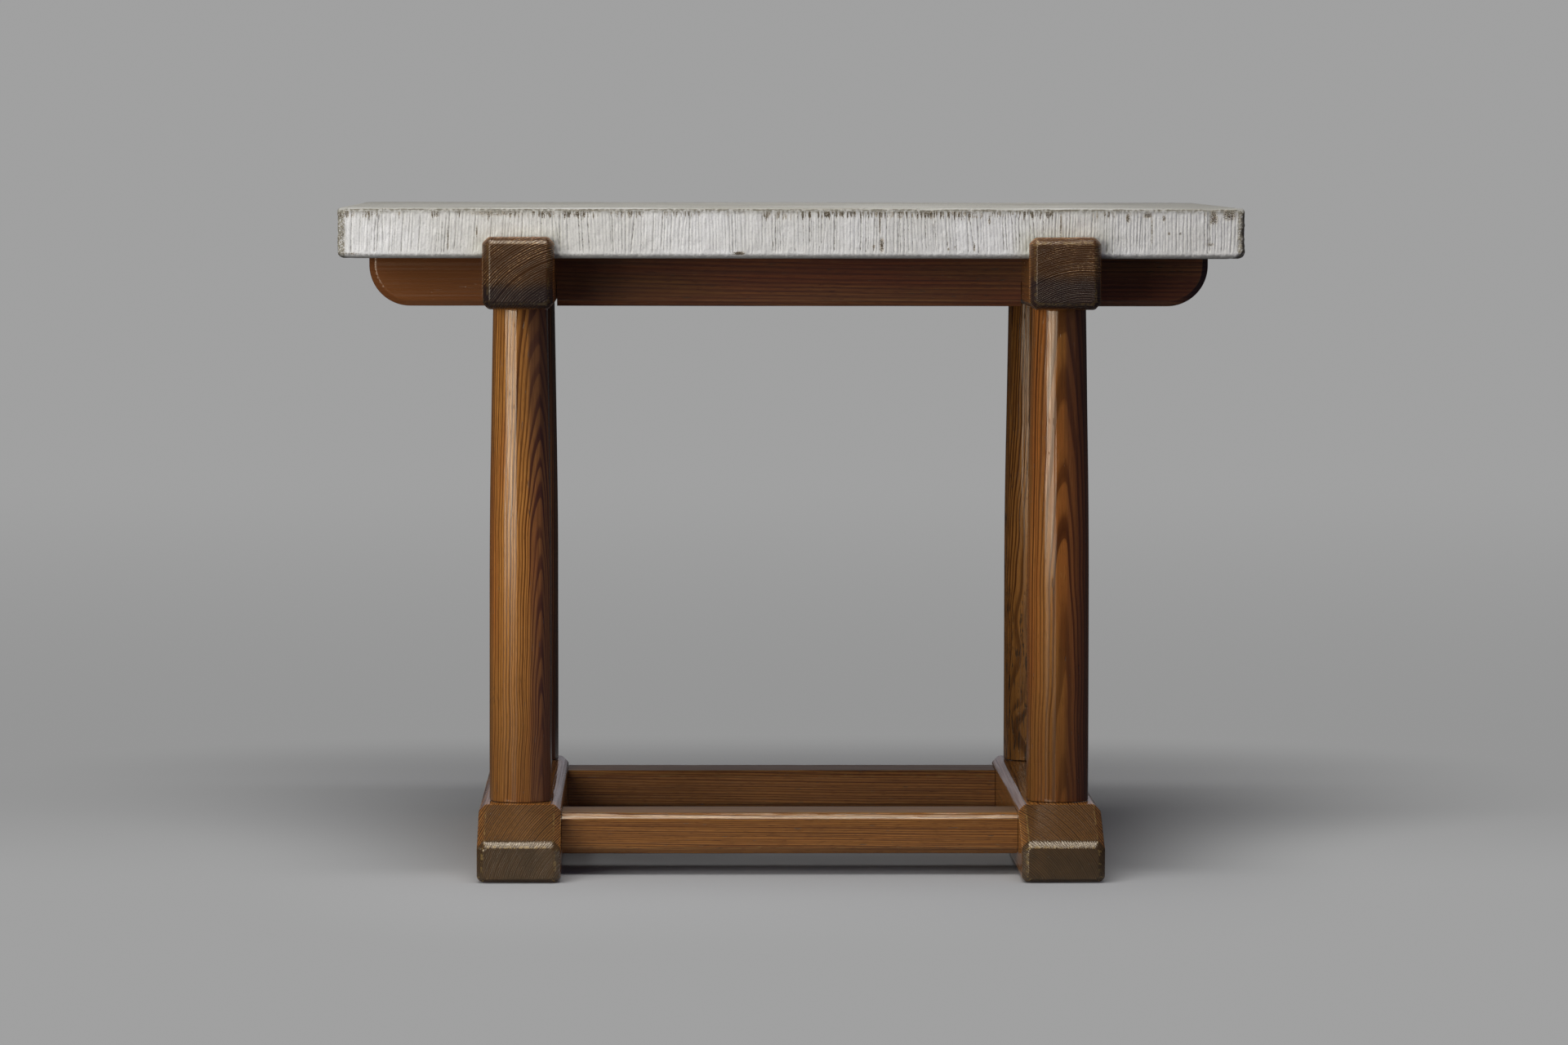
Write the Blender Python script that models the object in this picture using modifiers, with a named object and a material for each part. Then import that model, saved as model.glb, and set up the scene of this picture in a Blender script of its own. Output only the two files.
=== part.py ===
"""Trestle table: a loose stone slab on a pegged and wedged pine frame.

Units are metres and +Z is up. The origin is on the floor, under the middle of the table.
X runs along the width, left to right. The front of the table faces -Y.
"""

import math

import bmesh
import bpy
from mathutils import Vector

# Stone slab
SLAB_WIDTH = 1.004
SLAB_DEPTH = 0.732
SLAB_THICKNESS = 0.056
SLAB_CORNER_RADIUS = 0.006
SLAB_PLAY = 0.002            # between the slab's long edges and the lugs that keep it

# Trestles: one stands at each side, and each has a foot, two columns and a bearer
TRESTLE_INSET = 0.200        # from the slab's ends to the middles of the trestles
COLUMN_INSET = 0.130         # from the ends of the feet and bearers to the columns' axes

# Feet
FOOT_WIDTH = 0.093
FOOT_HEIGHT = 0.080
FOOT_END_HEIGHT = 0.043
FOOT_SLOPE_RUN = 0.084
FOOT_CHAMFER = 0.008
SOLE_CHAMFER = 0.005

# Columns: sixteen planed flats, nearly straight up to the belly and tapering above it
COLUMN_FLATS = 16
COLUMN_LENGTH = 0.554
COLUMN_BASE_RADIUS = 0.0347
COLUMN_BELLY_RADIUS = 0.0344
COLUMN_TOP_RADIUS = 0.0303
COLUMN_BELLY_SHARE = 0.55    # of the column's length, up from its base
TENON_RADIUS = 0.017
TENON_SHY = 0.001            # how far each tenon stops inside its piece's far face
ROUND_SIDES = 32

# Bearers: they run front to back under the slab, and their ends rise as lugs around it
BEARER_WIDTH = 0.080
BEARER_HEIGHT = 0.0805
BEARER_CHAMFER = 0.0075
LUG_RISE = 0.0245
LUG_THICKNESS = 0.022

# Aprons: they run from side to side under the slab and lap across the bearers
APRON_INSET = 0.0285         # from the slab's ends to the aprons' ends
APRON_THICKNESS = 0.045
APRON_SETBACK = 0.0167       # from the columns' tops to the aprons' outer faces
APRON_CORNER_RADIUS = 0.046
APRON_CHAMFER = 0.0065
APRON_ARC_STEPS = 12

# Stretchers: they join the two feet, in line with the columns
STRETCHER_BOTTOM = 0.023
STRETCHER_HEIGHT = 0.0465
STRETCHER_THICKNESS = 0.084
STRETCHER_CHAMFER = 0.007
STUB_LENGTH = 0.024
STUB_HEIGHT = 0.028
STUB_THICKNESS = 0.052

# Wedges in the columns' tenons, and pegs through the stretchers' tenons
WEDGE_LENGTH = 0.028
WEDGE_HEAD = 0.005
WEDGE_TIP = 0.0015
PEG_RADIUS = 0.004
PEG_SIDES = 16
PEG_PAST_TENON = 0.004

CLEARANCE = 0.0003           # between mating wood faces, and under the slab
OVERCUT = 0.010              # how far a cutter reaches past an open face

# Heights that follow from the pieces standing on each other
COLUMN_FOOT_LEVEL = FOOT_HEIGHT + CLEARANCE
BEARER_BOTTOM = COLUMN_FOOT_LEVEL + COLUMN_LENGTH + CLEARANCE
BEARER_TOP = BEARER_BOTTOM + BEARER_HEIGHT
SEAT_LEVEL = BEARER_TOP - LUG_RISE
SLAB_BOTTOM = SEAT_LEVEL + CLEARANCE
SLAB_TOP = SLAB_BOTTOM + SLAB_THICKNESS

# Lengths and places that follow from the slab and the columns
BEARER_LENGTH = SLAB_DEPTH + 2 * (SLAB_PLAY + LUG_THICKNESS)
FOOT_LENGTH = BEARER_LENGTH
TRESTLE_SPACING = SLAB_WIDTH - 2 * TRESTLE_INSET
COLUMN_SPACING = BEARER_LENGTH - 2 * COLUMN_INSET
APRON_LENGTH = SLAB_WIDTH - 2 * APRON_INSET
APRON_HEIGHT = SEAT_LEVEL - BEARER_BOTTOM
APRON_OFFSET = COLUMN_SPACING / 2 - COLUMN_TOP_RADIUS - APRON_SETBACK - APRON_THICKNESS / 2
LAP_LEVEL = BEARER_BOTTOM + APRON_HEIGHT / 2
FOOT_INNER_FACE = TRESTLE_SPACING / 2 - FOOT_WIDTH / 2
STRETCHER_LEVEL = STRETCHER_BOTTOM + STRETCHER_HEIGHT / 2

SIDES = {"left": -1, "right": 1}
ENDS = {"front": -1, "rear": 1}


def clear_scene():
    for obj in list(bpy.data.objects):
        bpy.data.objects.remove(obj, do_unlink=True)


def make_collection(name):
    collection = bpy.data.collections.new(name)
    bpy.context.scene.collection.children.link(collection)
    return collection


def make_material(name, colour, roughness):
    material = bpy.data.materials.new(name)
    material.use_nodes = True
    shader = material.node_tree.nodes["Principled BSDF"]
    shader.inputs["Base Color"].default_value = (*colour, 1.0)
    shader.inputs["Roughness"].default_value = roughness
    shader.inputs["Metallic"].default_value = 0.0
    return material


def add_object(name, shape, collection, material=None):
    """Turn a bmesh into a named object whose faces point outwards."""
    bmesh.ops.recalc_face_normals(shape, faces=shape.faces)
    mesh = bpy.data.meshes.new(name)
    shape.to_mesh(mesh)
    shape.free()
    obj = bpy.data.objects.new(name, mesh)
    collection.objects.link(obj)
    if material:
        mesh.materials.append(material)
    return obj


def box_shape(low, high):
    """A box between two corners."""
    low, high = Vector(low), Vector(high)
    shape = bmesh.new()
    bmesh.ops.create_cube(shape, size=1.0)
    bmesh.ops.scale(shape, vec=high - low, verts=shape.verts)
    bmesh.ops.translate(shape, vec=(low + high) / 2, verts=shape.verts)
    return shape


def post_shape(rings, sides):
    """A post on the Z axis through rings of a height and a radius, whose flats face the axes."""
    shape = bmesh.new()
    angles = [2 * math.pi * (step + 0.5) / sides for step in range(sides)]
    loops = [[shape.verts.new((radius * math.cos(angle), radius * math.sin(angle), height))
              for angle in angles] for height, radius in rings]
    for low, high in zip(loops, loops[1:]):
        for index in range(sides):
            after = (index + 1) % sides
            shape.faces.new((low[index], low[after], high[after], high[index]))
    shape.faces.new(loops[0])
    shape.faces.new(loops[-1])
    return shape


def rod_shape(radius, low, high, sides):
    """A post of one radius between two heights."""
    return post_shape([(low, radius), (high, radius)], sides)


def extruded_shape(outline, along, half_width):
    """Extrude a closed outline of 3D points by half_width to both sides along an axis."""
    shape = bmesh.new()
    offset = Vector(along) * half_width
    face = shape.faces.new([shape.verts.new(Vector(point) - offset) for point in outline])
    extruded = bmesh.ops.extrude_face_region(shape, geom=[face])
    moved = [item for item in extruded["geom"] if isinstance(item, bmesh.types.BMVert)]
    bmesh.ops.translate(shape, vec=2 * offset, verts=moved)
    return shape


def chamfer(obj, width, weight_of_edge):
    """Chamfer the edges for which weight_of_edge gives a share of the width."""
    weights = obj.data.attributes.new("bevel_weight_edge", "FLOAT", "EDGE")
    for edge in obj.data.edges:
        ends = [obj.data.vertices[index].co for index in edge.vertices]
        weights.data[edge.index].value = weight_of_edge(*ends)
    modifier = obj.modifiers.new("Chamfer", "BEVEL")
    modifier.width = width
    modifier.segments = 1
    modifier.limit_method = "WEIGHT"


def combine(obj, tool, operation):
    modifier = obj.modifiers.new(tool.name, "BOOLEAN")
    modifier.object = tool
    modifier.operation = operation
    modifier.solver = "EXACT"


def make_tool(name, shape):
    """A hidden shape that cuts a piece or is joined to it."""
    tool = add_object(name, shape, tools)
    tool.hide_render = True
    tool.display_type = "WIRE"
    return tool


def same_level(first, second, level):
    return abs(first.z - level) < CLEARANCE / 2 and abs(second.z - level) < CLEARANCE / 2


def foot_outline():
    """Side view of a foot: an upright end, a slope and a level top, mirrored about the middle."""
    end, slope_top = FOOT_LENGTH / 2, FOOT_LENGTH / 2 - FOOT_SLOPE_RUN
    front = [(0, -end, 0), (0, -end, FOOT_END_HEIGHT), (0, -slope_top, FOOT_HEIGHT)]
    rear = [(x, -y, z) for x, y, z in reversed(front)]
    return front + rear


def foot_edge_weight(first, second):
    crosses = abs(first.x - second.x) > CLEARANCE
    if same_level(first, second, 0):
        return SOLE_CHAMFER / FOOT_CHAMFER
    if crosses and same_level(first, second, FOOT_HEIGHT):
        return 0.0
    if crosses:
        return 0.5
    return 1.0


def make_foot(side):
    foot = add_object("foot_" + side, extruded_shape(foot_outline(), (1, 0, 0), FOOT_WIDTH / 2),
                      parts, wood["foot"])
    chamfer(foot, FOOT_CHAMFER, foot_edge_weight)
    foot.location.x = SIDES[side] * TRESTLE_SPACING / 2
    return foot


def make_bearer(side):
    """A square beam, chamfered all round, with its top cut away under the slab."""
    half = Vector((BEARER_WIDTH / 2, BEARER_LENGTH / 2, 0))
    low = Vector((0, 0, BEARER_BOTTOM)) - half
    high = Vector((0, 0, BEARER_TOP)) + half
    bearer = add_object("bearer_" + side, box_shape(low, high), parts, wood["bearer"])
    chamfer(bearer, BEARER_CHAMFER, lambda first, second: 1.0)
    bearer.location.x = SIDES[side] * TRESTLE_SPACING / 2
    seat_reach = SLAB_DEPTH / 2 + SLAB_PLAY
    seat = make_tool("cut_seat_" + side, box_shape(
        (-BEARER_WIDTH, -seat_reach, SEAT_LEVEL), (BEARER_WIDTH, seat_reach, BEARER_TOP + OVERCUT)))
    seat.location = bearer.location
    combine(bearer, seat, "DIFFERENCE")
    return bearer


def column_place(side, end):
    return Vector((SIDES[side] * TRESTLE_SPACING / 2, ENDS[end] * COLUMN_SPACING / 2, 0))


def wedge_shape(gap, outer, inner, reach):
    """A wedge whose thick end is at the height outer and whose tip is at the height inner."""
    half_width = math.sqrt(TENON_RADIUS ** 2 - (WEDGE_HEAD / 2) ** 2) - CLEARANCE + reach
    head, tip = WEDGE_HEAD / 2 + gap, WEDGE_TIP / 2 + gap
    outline = [(0, -head, outer), (0, head, outer), (0, tip, inner), (0, -tip, inner)]
    return extruded_shape(outline, (1, 0, 0), half_width)


def make_column(side, end):
    """A tapered column with a round tenon at each end and a saw kerf in each tenon."""
    where = end + "_" + side
    to_corner = 1 / math.cos(math.pi / COLUMN_FLATS)
    profile = [(0.0, COLUMN_BASE_RADIUS), (COLUMN_BELLY_SHARE, COLUMN_BELLY_RADIUS),
               (1.0, COLUMN_TOP_RADIUS)]
    shaft = post_shape([(COLUMN_FOOT_LEVEL + share * COLUMN_LENGTH, radius * to_corner)
                        for share, radius in profile], COLUMN_FLATS)
    column = add_object("column_" + where, shaft, parts, wood["column"])
    column.location = column_place(side, end)
    tenon_low, tenon_high = TENON_SHY, SEAT_LEVEL - TENON_SHY
    tenon = make_tool("tenon_" + where,
                      rod_shape(TENON_RADIUS, tenon_low, tenon_high, ROUND_SIDES))
    tenon.location = column.location
    combine(column, tenon, "UNION")
    for name, outer, towards in (("bottom", tenon_low, 1), ("top", tenon_high, -1)):
        inner = outer + towards * WEDGE_LENGTH
        kerf = make_tool("kerf_" + name + "_" + where,
                         wedge_shape(CLEARANCE, outer - towards * CLEARANCE,
                                     inner + towards * CLEARANCE, OVERCUT))
        kerf.location = column.location
        combine(column, kerf, "DIFFERENCE")
        wedge = add_object("wedge_" + name + "_" + where,
                           wedge_shape(0.0, outer, inner, 0.0), parts, wood["wedge"])
        wedge.location = column.location
    return column


def cut_column_mortise(piece, side, end, low, high):
    hole = make_tool("mortise_" + piece.name + "_" + end,
                     rod_shape(TENON_RADIUS + CLEARANCE, low, high, ROUND_SIDES))
    hole.location = column_place(side, end)
    combine(piece, hole, "DIFFERENCE")


def apron_outline():
    """Front view of an apron: a long board whose lower corners are quarter rounds."""
    half, radius = APRON_LENGTH / 2, APRON_CORNER_RADIUS
    arc = []
    for step in range(APRON_ARC_STEPS + 1):
        angle = math.pi / 2 * step / APRON_ARC_STEPS
        arc.append((half - radius + radius * math.sin(angle), 0,
                    BEARER_BOTTOM + radius - radius * math.cos(angle)))
    right = arc + [(half, 0, SEAT_LEVEL)]
    left = [(-x, y, z) for x, y, z in reversed(right)]
    return right + left


def apron_edge_weight(first, second):
    along_outline = abs(first.y - second.y) < CLEARANCE
    if same_level(first, second, SEAT_LEVEL) or not along_outline:
        return 0.0
    return 1.0


def make_apron(end):
    """A rail notched from below, so that it drops over both bearers."""
    board = extruded_shape(apron_outline(), (0, 1, 0), APRON_THICKNESS / 2)
    apron = add_object("apron_" + end, board, parts, wood["apron"])
    chamfer(apron, APRON_CHAMFER, apron_edge_weight)
    apron.location.y = ENDS[end] * APRON_OFFSET
    for side, sign in SIDES.items():
        half_notch = BEARER_WIDTH / 2 + CLEARANCE
        centre = sign * TRESTLE_SPACING / 2
        notch = make_tool("lap_" + end + "_" + side, box_shape(
            (centre - half_notch, -APRON_THICKNESS, BEARER_BOTTOM - OVERCUT),
            (centre + half_notch, APRON_THICKNESS, LAP_LEVEL + CLEARANCE)))
        notch.location = apron.location
        combine(apron, notch, "DIFFERENCE")
    return apron


def cut_apron_notches(bearer, side):
    for end, sign in ENDS.items():
        half_notch = APRON_THICKNESS / 2 + CLEARANCE
        centre = sign * APRON_OFFSET
        notch = make_tool("lap_bearer_" + end + "_" + side, box_shape(
            (-BEARER_WIDTH, centre - half_notch, LAP_LEVEL),
            (BEARER_WIDTH, centre + half_notch, BEARER_TOP + OVERCUT)))
        notch.location = bearer.location
        combine(bearer, notch, "DIFFERENCE")


def stretcher_edge_weight(first, second):
    return 1.0 if abs(first.x - second.x) > CLEARANCE else 0.0


def stub_box(reach, gap):
    """The stub tenon on the right-hand end of a stretcher, or its mortise with a gap."""
    low = (FOOT_INNER_FACE - reach, -STUB_THICKNESS / 2 - gap, STRETCHER_LEVEL - STUB_HEIGHT / 2 - gap)
    high = (FOOT_INNER_FACE + STUB_LENGTH + gap, STUB_THICKNESS / 2 + gap,
            STRETCHER_LEVEL + STUB_HEIGHT / 2 + gap)
    return low, high


def peg_place(sign, end):
    return Vector((sign * (FOOT_INNER_FACE + STUB_LENGTH / 2), ENDS[end] * COLUMN_SPACING / 2, 0))


def mirrored(low, high, sign):
    """Turn a box on the right-hand side into its mirror image for the left-hand side."""
    if sign > 0:
        return low, high
    return (-high[0], low[1], low[2]), (-low[0], high[1], high[2])


def make_stretcher(end, feet):
    """A chamfered rail with a pegged stub tenon in each foot."""
    half_length = FOOT_INNER_FACE - CLEARANCE
    half_depth = STRETCHER_THICKNESS / 2
    rail = box_shape((-half_length, -half_depth, STRETCHER_BOTTOM),
                     (half_length, half_depth, STRETCHER_BOTTOM + STRETCHER_HEIGHT))
    stretcher = add_object("stretcher_" + end, rail, parts, wood["stretcher"])
    chamfer(stretcher, STRETCHER_CHAMFER, stretcher_edge_weight)
    stretcher.location.y = ENDS[end] * COLUMN_SPACING / 2
    peg_top = STRETCHER_LEVEL + STUB_HEIGHT / 2 + PEG_PAST_TENON
    for side, sign in SIDES.items():
        where = end + "_" + side
        stub = make_tool("stub_" + where, box_shape(*mirrored(*stub_box(OVERCUT, 0.0), sign)))
        stub.location = stretcher.location
        combine(stretcher, stub, "UNION")
        mortise = make_tool("mortise_stub_" + where,
                            box_shape(*mirrored(*stub_box(OVERCUT, CLEARANCE), sign)))
        mortise.location = stretcher.location
        combine(feet[side], mortise, "DIFFERENCE")
        hole = make_tool("peg_hole_" + where,
                         rod_shape(PEG_RADIUS + CLEARANCE, -OVERCUT, peg_top + CLEARANCE, PEG_SIDES))
        hole.location = peg_place(sign, end)
        combine(stretcher, hole, "DIFFERENCE")
        combine(feet[side], hole, "DIFFERENCE")
        peg = add_object("peg_" + where,
                         rod_shape(PEG_RADIUS, TENON_SHY, peg_top, PEG_SIDES),
                         parts, wood["peg"])
        peg.location = peg_place(sign, end)
        smooth(peg)
    return stretcher


def make_slab():
    half_width, half_depth = SLAB_WIDTH / 2, SLAB_DEPTH / 2
    shape = box_shape((-half_width, -half_depth, SLAB_BOTTOM), (half_width, half_depth, SLAB_TOP))
    slab = add_object("slab", shape, parts, stone)
    modifier = slab.modifiers.new("Worn arrises", "BEVEL")
    modifier.width = SLAB_CORNER_RADIUS
    modifier.segments = 3
    modifier.limit_method = "ANGLE"
    smooth(slab)
    return slab


def smooth(obj):
    obj.data.shade_smooth()
    obj.data.set_sharp_from_angle(angle=math.radians(30))


clear_scene()
parts = make_collection("trestle_table")
tools = make_collection("cutters")
wood = {
    "foot": make_material("foot_pine", (0.13, 0.055, 0.020), 0.40),
    "column": make_material("column_pine", (0.26, 0.105, 0.030), 0.35),
    "bearer": make_material("bearer_pine", (0.10, 0.040, 0.016), 0.40),
    "apron": make_material("apron_pine", (0.12, 0.040, 0.016), 0.35),
    "stretcher": make_material("stretcher_pine", (0.18, 0.065, 0.022), 0.35),
    "wedge": make_material("wedge_pine", (0.22, 0.10, 0.035), 0.50),
    "peg": make_material("peg_pine", (0.22, 0.10, 0.035), 0.50),
}
stone = make_material("slab_stone", (0.60, 0.58, 0.54), 0.45)

make_slab()
feet = {side: make_foot(side) for side in SIDES}
bearers = {side: make_bearer(side) for side in SIDES}
for side in SIDES:
    cut_apron_notches(bearers[side], side)
    for end in ENDS:
        make_column(side, end)
        cut_column_mortise(feet[side], side, end, -OVERCUT, FOOT_HEIGHT + OVERCUT)
        cut_column_mortise(bearers[side], side, end, BEARER_BOTTOM - OVERCUT, SEAT_LEVEL + OVERCUT)
for end in ENDS:
    make_apron(end)
    make_stretcher(end, feet)
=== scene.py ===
"""Looks of the trestle table: worn stained pine under a slab of comb-chiselled stone.

Everything is in metres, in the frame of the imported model: X to the right, Y to the back, Z up.
"""

import math
import random

import bmesh
import bpy
from mathutils import Matrix, Vector, noise


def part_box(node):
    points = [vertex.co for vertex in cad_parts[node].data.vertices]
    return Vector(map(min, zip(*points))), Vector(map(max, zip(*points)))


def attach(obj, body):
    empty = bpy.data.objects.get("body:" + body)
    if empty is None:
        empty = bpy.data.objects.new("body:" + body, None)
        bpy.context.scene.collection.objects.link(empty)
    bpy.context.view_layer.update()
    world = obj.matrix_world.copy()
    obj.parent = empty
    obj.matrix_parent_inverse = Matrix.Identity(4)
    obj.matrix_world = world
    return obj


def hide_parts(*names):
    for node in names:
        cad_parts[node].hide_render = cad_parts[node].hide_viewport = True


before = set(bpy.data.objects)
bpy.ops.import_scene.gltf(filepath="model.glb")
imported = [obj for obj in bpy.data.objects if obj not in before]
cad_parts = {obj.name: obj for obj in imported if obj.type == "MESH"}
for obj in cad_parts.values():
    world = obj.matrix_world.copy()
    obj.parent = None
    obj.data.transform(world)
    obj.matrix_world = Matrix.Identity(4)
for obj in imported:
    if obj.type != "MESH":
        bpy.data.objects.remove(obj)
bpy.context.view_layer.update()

SIDES = {"left": -1, "right": 1}
ENDS = {"front": -1, "rear": 1}

# Sizes that the frame's boxes don't give
FOOT_CHAMFER = 0.008
FOOT_CHAMFER_RUN = 0.006
SOLE_CHAMFER = 0.005
FOOT_END_HEIGHT = 0.043
FOOT_SLOPE_RUN = 0.084
BEARER_CHAMFER = 0.0075
BEARER_CHAMFER_RUN = 0.0085
LUG_RISE = 0.0245
LUG_THICKNESS = 0.022
APRON_CHAMFER = 0.0065
APRON_CORNER_RADIUS = 0.046
STRETCHER_CHAMFER = 0.007
STUB_LENGTH = 0.024
STUB_HEIGHT = 0.028
STUB_THICKNESS = 0.052
TRESTLE_SPACING = 0.604
COLUMN_SPACING = 0.52
COLUMN_BASE_RADIUS = 0.0347
COLUMN_BELLY_RADIUS = 0.0344
COLUMN_TOP_RADIUS = 0.0303
COLUMN_BELLY_SHARE = 0.55
COLUMN_BEND_SHARE = 0.12
TENON_RADIUS = 0.017
TENON_CHAMFER = 0.0008
WEDGE_LENGTH = 0.028
WEDGE_HEAD = 0.005
WEDGE_TIP = 0.0015
PEG_RADIUS = 0.004
PEG_HOLE_SIDES = 24
CLEARANCE = 0.0003
OVERCUT = 0.01

# Wear of the wood
ARRIS_RADIUS = 0.0012
FOOT_ARRIS_RADIUS = 0.0024
BEARER_ARRIS_RADIUS = 0.0022
SHOULDER_EASE = 0.0006
HOLLOW = 0.00035
NICK = 0.0006
SOLE_DIRT_HEIGHT = 0.012

# Points round a column, and how far the rings on an end face lie from its edge
COLUMN_STEPS = 160
CAP_REACHES = (0.0012, 0.01, 0.024)

# Flats planed on each column: how many, and the direction of the first in degrees
FLATS = {("left", "front"): (14, -20.5), ("right", "front"): (18, -16),
         ("left", "rear"): (16, 5), ("right", "rear"): (16, -4)}

# Camera, from the photograph's perspective: a long lens, a little above the table top
LENS = 157.5
SENSOR = 36
CAMERA_PLACE = Vector((-0.1452, -7.9514, 0.818))
CAMERA_YAW = 1.0348
CAMERA_PITCH = 3.163
CAMERA_ROLL = 0.078

# Backdrop colour, linear, and the floor's disc
BACKDROP = (0.355, 0.355, 0.355)
FLOOR_RADIUS = 60
FLOOR_DROP = 0.0005

# The slab and the comb marks on its edges
RIB_PITCH = 0.0036
RIB_DEPTH = 0.0008
CROWN_RISE = 0.0009
SLAB_CORNER = 0.006
CORNER_STEPS = 12
SLAB_STEP = 0.0005

# Stains on the slab's front: X, height over the slab's bottom, half width, half height, strength
STAINS = (
    (0.0973, 0.0385, 0.0009, 0.011, 1),
    (0.0995, 0.015, 0.0022, 0.008, 1),
    (0.091, 0.013, 0.0016, 0.002, 0.9),
    (0.2977, 0.0365, 0.001, 0.014, 1),
    (-0.38, 0.022, 0.0007, 0.014, 0.8),
    (-0.348, 0.03, 0.0009, 0.006, 1),
    (0.1733, 0.0106, 0.0014, 0.0014, 0.8),
    (0.1805, 0.0125, 0.0014, 0.0014, 0.8),
    (0.202, 0.013, 0.001, 0.005, 0.9),
    (0.2185, 0.043, 0.0012, 0.005, 0.9),
    (-0.227, 0.0528, 0.028, 0.001, 0.8),
    (0.215, 0.0528, 0.01, 0.001, 0.8),
    (0.2985, 0.0535, 0.016, 0.001, 0.8),
    (0.372, 0.045, 0.0022, 0.005, 1),
    (0.394, 0.0485, 0.0045, 0.003, 1),
    (0.412, 0.045, 0.0018, 0.003, 1),
    (0.4665, 0.046, 0.0045, 0.008, 1),
    (0.484, 0.049, 0.0075, 0.006, 1),
    (0.4174, 0.028, 0.0012, 0.0014, 1),
    (0.43, 0.028, 0.0012, 0.0014, 1),
    (0.463, 0.016, 0.005, 0.0016, 0.9),
    (-0.0585, 0.006, 0.006, 0.0018, 1.6),
    (-0.4875, 0.005, 0.011, 0.0014, 0.8),
    (-0.327, 0.05, 0.035, 0.0035, 0.55),
    (0.3985, 0.03, 0.0008, 0.016, 0.8),
)

# Pine of the level pieces: axis, pith line, rings, seed and looks, as pine_material takes them
PINES = {
    "foot_left": ("Y", (-0.2, -0.03), (430, 200, 4), 1.3,
        dict(tone=0.81, red=0.35, grey=0.45, gloss=1.15)),
    "foot_right": ("Y", (0.215, -0.045), (430, 200, -3), 4.1,
        dict(tone=0.76, red=0.2, grey=0.45, gloss=1.2)),
    "bearer_left": ("Y", (-0.233, 0.58), (300, 500, 3), 7.9,
        dict(tone=0.59, red=0.6, gloss=0.8, worn=0.4, spark=0.66)),
    "bearer_right": ("Y", (0.325, 0.56), (420, 500, -4), 9.4,
        dict(tone=0.68, red=0.3, gloss=0.75, worn=0.6, spark=0.668)),
    "apron_front": ("X", (-0.2, 0.5), (190, 0, 3), 12.5,
        dict(tone=0.6, red=0.7, contrast=0.6, painted_haze=0.4, paler=(-0.42, -0.2))),
    "apron_rear": ("X", (0.24, 0.48), (200, 0, -2), 15.2,
        dict(tone=0.56, red=0.7, contrast=0.6, painted_haze=0.42)),
    "stretcher_front": ("X", (-0.27, -0.05), (420, 0, 4), 17.7,
        dict(tone=0.56, red=0.35, contrast=0.7, painted_haze=0.1, worn=0.9, gloss=0.95)),
    "stretcher_rear": ("X", (0.22, 0.12), (300, 0, -5), 19.1,
        dict(tone=0.64, red=0.3, contrast=0.7, painted_haze=0.2)),
}

# Pine of the columns: direction and height of the arches, rings, seed and looks
COLUMN_PINES = {
    ("left", "front"): (42, 0.645, (400, 0, 21), 21, dict(tone=1.02, red=0.5)),
    ("right", "front"): (9, 0.62, (330, 0, 9), 23.6, dict(tone=0.76, red=0.8, contrast=0.9)),
    ("left", "rear"): (150, 0.7, (330, 0, 20), 26.2, dict(tone=0.8, red=0.4)),
    ("right", "rear"): (120, 0.7, (360, 0, 18), 28.3, dict(tone=0.8, red=0.15, slits=1, gloss=0.42)),
}

# The pith lies behind a column's middle; its arches reach this far to the sides
PITH_DISTANCE = 0.035
ARCH_REACH = 0.023

# For each grain direction: the two directions across it, and itself
AXES = {"X": (1, 2, 0), "Y": (0, 2, 1), "Z": (0, 1, 2)}


def add_object(name, data):
    made = bpy.data.objects.new(name, data)
    bpy.context.scene.collection.objects.link(made)
    return made


def make_camera():
    data = bpy.data.cameras.new("camera")
    data.lens = LENS
    data.sensor_width = SENSOR
    data.clip_start, data.clip_end = 0.1, 200
    camera = add_object("camera", data)
    yaw = Matrix.Rotation(-math.radians(CAMERA_YAW), 4, "Z")
    pitch = Matrix.Rotation(math.radians(90 - CAMERA_PITCH), 4, "X")
    roll = Matrix.Rotation(math.radians(CAMERA_ROLL), 4, "Z")
    camera.matrix_world = Matrix.Translation(CAMERA_PLACE) @ yaw @ pitch @ roll
    bpy.context.scene.camera = camera


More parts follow.
